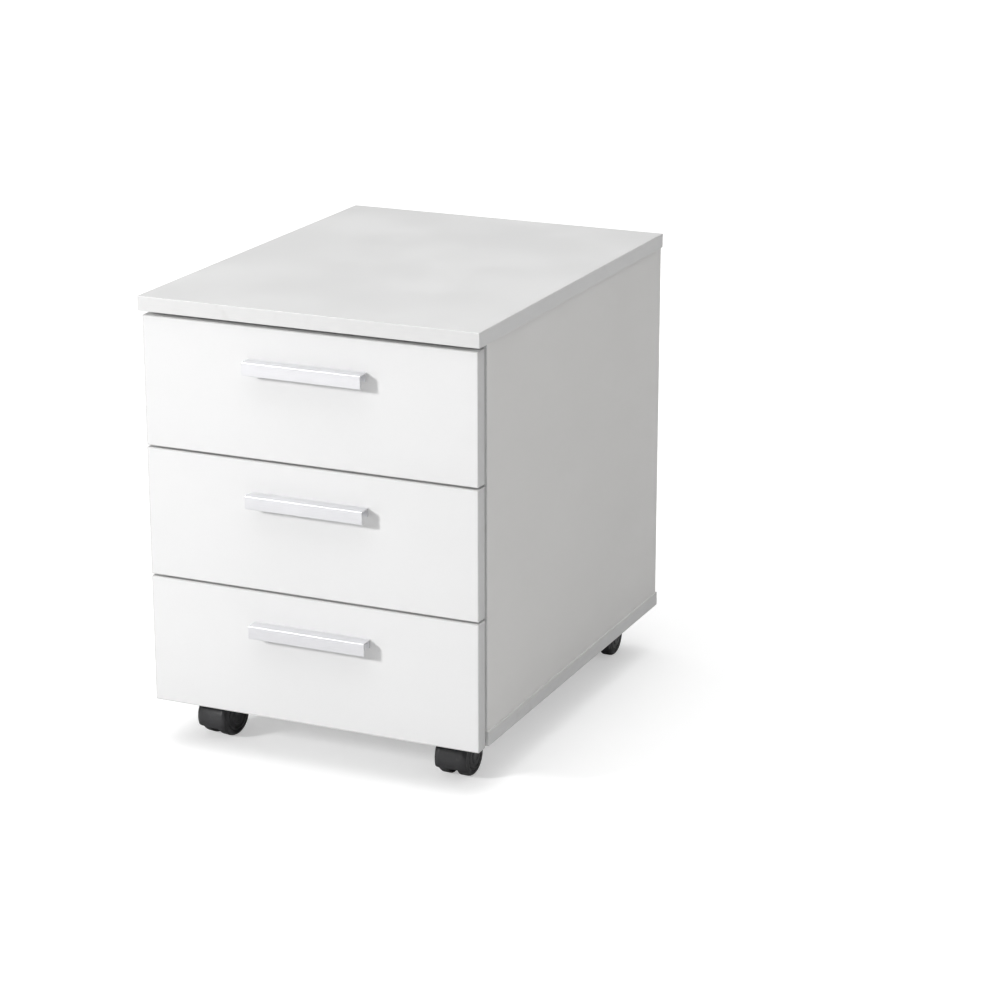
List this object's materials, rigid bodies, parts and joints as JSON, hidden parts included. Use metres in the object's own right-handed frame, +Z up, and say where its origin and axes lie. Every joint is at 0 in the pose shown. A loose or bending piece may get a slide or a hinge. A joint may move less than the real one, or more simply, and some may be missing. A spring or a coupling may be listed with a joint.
{
  "type": "rolling pedestal cabinet",
  "caption": "Low white pedestal cabinet on hooded twin-wheel casters, with stacked sliding drawers behind flat overlay fronts and open-ended bar handles.",
  "frame": {"origin": "on the floor under the middle of the cabinet's bounding box", "axes": "+Z up, -Y towards the drawer fronts, +X to the right of someone facing the drawers"},
  "size_m": [0.437, 0.5774, 0.56],
  "materials": {
    "white_board": "satin melamine",
    "front_board": "satin melamine",
    "drawer_board": "satin melamine",
    "drawer_base": "satin foil",
    "handle_aluminium": "pale satin",
    "dowel_beech": "raw",
    "slide_steel": "zinc plated",
    "cam_zinc": "die cast",
    "screw_steel": "zinc plated",
    "plate_steel": "zinc plated",
    "caster_plastic": "moulded satin",
    "pin_steel": "turned",
    "wheel_plastic": "moulded satin"
  },
  "bodies": {
    "root": {"top_panel": "white_board", "bottom_panel": "white_board", "left_side_panel": "white_board", "right_side_panel": "white_board", "back_panel": "white_board", "panel_dowels": "dowel_beech", "cam_locks": "cam_zinc", "cam_bolts": "cam_zinc", "case_slides_1": "slide_steel", "case_slides_2": "slide_steel", "case_slides_3": "slide_steel", "case_slide_screws": "screw_steel", "caster_screws": "screw_steel", "front_left_caster_plate": "plate_steel", "front_right_caster_plate": "plate_steel", "rear_left_caster_plate": "plate_steel", "rear_right_caster_plate": "plate_steel"},
    "drawer_1": {"drawer_1_front": "front_board", "drawer_1_left_side": "drawer_board", "drawer_1_right_side": "drawer_board", "drawer_1_back": "drawer_board", "drawer_1_bottom": "drawer_base", "drawer_1_slides": "slide_steel", "drawer_1_handle": "handle_aluminium", "drawer_1_screws": "screw_steel"},
    "ball_cages_1": {"ball_cages_1": "slide_steel"},
    "drawer_2": {"drawer_2_front": "front_board", "drawer_2_left_side": "drawer_board", "drawer_2_right_side": "drawer_board", "drawer_2_back": "drawer_board", "drawer_2_bottom": "drawer_base", "drawer_2_slides": "slide_steel", "drawer_2_handle": "handle_aluminium", "drawer_2_screws": "screw_steel"},
    "ball_cages_2": {"ball_cages_2": "slide_steel"},
    "drawer_3": {"drawer_3_front": "front_board", "drawer_3_left_side": "drawer_board", "drawer_3_right_side": "drawer_board", "drawer_3_back": "drawer_board", "drawer_3_bottom": "drawer_base", "drawer_3_slides": "slide_steel", "drawer_3_handle": "handle_aluminium", "drawer_3_screws": "screw_steel"},
    "ball_cages_3": {"ball_cages_3": "slide_steel"},
    "front_left_caster": {"front_left_caster_hood": "caster_plastic", "front_left_caster_pins": "pin_steel"},
    "front_left_wheel_left": {"front_left_wheel_left": "wheel_plastic"},
    "front_left_wheel_right": {"front_left_wheel_right": "wheel_plastic"},
    "front_right_caster": {"front_right_caster_hood": "caster_plastic", "front_right_caster_pins": "pin_steel"},
    "front_right_wheel_left": {"front_right_wheel_left": "wheel_plastic"},
    "front_right_wheel_right": {"front_right_wheel_right": "wheel_plastic"},
    "rear_left_caster": {"rear_left_caster_hood": "caster_plastic", "rear_left_caster_pins": "pin_steel"},
    "rear_left_wheel_left": {"rear_left_wheel_left": "wheel_plastic"},
    "rear_left_wheel_right": {"rear_left_wheel_right": "wheel_plastic"},
    "rear_right_caster": {"rear_right_caster_hood": "caster_plastic", "rear_right_caster_pins": "pin_steel"},
    "rear_right_wheel_left": {"rear_right_wheel_left": "wheel_plastic"},
    "rear_right_wheel_right": {"rear_right_wheel_right": "wheel_plastic"}
  },
  "joints": [
    {"name": "drawer_1_slide", "type": "slide", "parent": "root", "child": "drawer_1", "axis": [0, -1, 0], "range_m": [0, 0.34]},
    {"name": "ball_cages_1_slide", "type": "slide", "parent": "root", "child": "ball_cages_1", "axis": [0, -1, 0], "range_m": [0, 0.17]},
    {"name": "drawer_2_slide", "type": "slide", "parent": "root", "child": "drawer_2", "axis": [0, -1, 0], "range_m": [0, 0.34]},
    {"name": "ball_cages_2_slide", "type": "slide", "parent": "root", "child": "ball_cages_2", "axis": [0, -1, 0], "range_m": [0, 0.17]},
    {"name": "drawer_3_slide", "type": "slide", "parent": "root", "child": "drawer_3", "axis": [0, -1, 0], "range_m": [0, 0.34]},
    {"name": "ball_cages_3_slide", "type": "slide", "parent": "root", "child": "ball_cages_3", "axis": [0, -1, 0], "range_m": [0, 0.17]},
    {"name": "front_left_caster_swivel", "type": "hinge", "parent": "root", "child": "front_left_caster", "pos_m": [-0.16, -0.22025, 0.06], "axis": [0, 0, 1], "continuous": true},
    {"name": "front_left_wheel_left_spin", "type": "hinge", "parent": "front_left_caster", "child": "front_left_wheel_left", "pos_m": [-0.15781, -0.20642, 0.025], "axis": [0.9877, -0.1564, 0], "continuous": true},
    {"name": "front_left_wheel_right_spin", "type": "hinge", "parent": "front_left_caster", "child": "front_left_wheel_right", "pos_m": [-0.15781, -0.20642, 0.025], "axis": [0.9877, -0.1564, 0], "continuous": true},
    {"name": "front_right_caster_swivel", "type": "hinge", "parent": "root", "child": "front_right_caster", "pos_m": [0.16, -0.22025, 0.06], "axis": [0, 0, 1], "continuous": true},
    {"name": "front_right_wheel_left_spin", "type": "hinge", "parent": "front_right_caster", "child": "front_right_wheel_left", "pos_m": [0.16, -0.20625, 0.025], "axis": [1, 0, 0], "continuous": true},
    {"name": "front_right_wheel_right_spin", "type": "hinge", "parent": "front_right_caster", "child": "front_right_wheel_right", "pos_m": [0.16, -0.20625, 0.025], "axis": [1, 0, 0], "continuous": true},
    {"name": "rear_left_caster_swivel", "type": "hinge", "parent": "root", "child": "rear_left_caster", "pos_m": [-0.16, 0.22675, 0.06], "axis": [0, 0, 1], "continuous": true},
    {"name": "rear_left_wheel_left_spin", "type": "hinge", "parent": "rear_left_caster", "child": "rear_left_wheel_left", "pos_m": [-0.16122, 0.2407, 0.025], "axis": [0.9962, 0.0872, 0], "continuous": true},
    {"name": "rear_left_wheel_right_spin", "type": "hinge", "parent": "rear_left_caster", "child": "rear_left_wheel_right", "pos_m": [-0.16122, 0.2407, 0.025], "axis": [0.9962, 0.0872, 0], "continuous": true},
    {"name": "rear_right_caster_swivel", "type": "hinge", "parent": "root", "child": "rear_right_caster", "pos_m": [0.16, 0.22675, 0.06], "axis": [0, 0, 1], "continuous": true},
    {"name": "rear_right_wheel_left_spin", "type": "hinge", "parent": "rear_right_caster", "child": "rear_right_wheel_left", "pos_m": [0.16, 0.24075, 0.025], "axis": [1, 0, 0], "continuous": true},
    {"name": "rear_right_wheel_right_spin", "type": "hinge", "parent": "rear_right_caster", "child": "rear_right_wheel_right", "pos_m": [0.16, 0.24075, 0.025], "axis": [1, 0, 0], "continuous": true}
  ],
  "couplings": [
    {"joint": "ball_cages_1_slide", "follows": "drawer_1_slide", "ratio": 0.5},
    {"joint": "ball_cages_2_slide", "follows": "drawer_2_slide", "ratio": 0.5},
    {"joint": "ball_cages_3_slide", "follows": "drawer_3_slide", "ratio": 0.5}
  ]
}
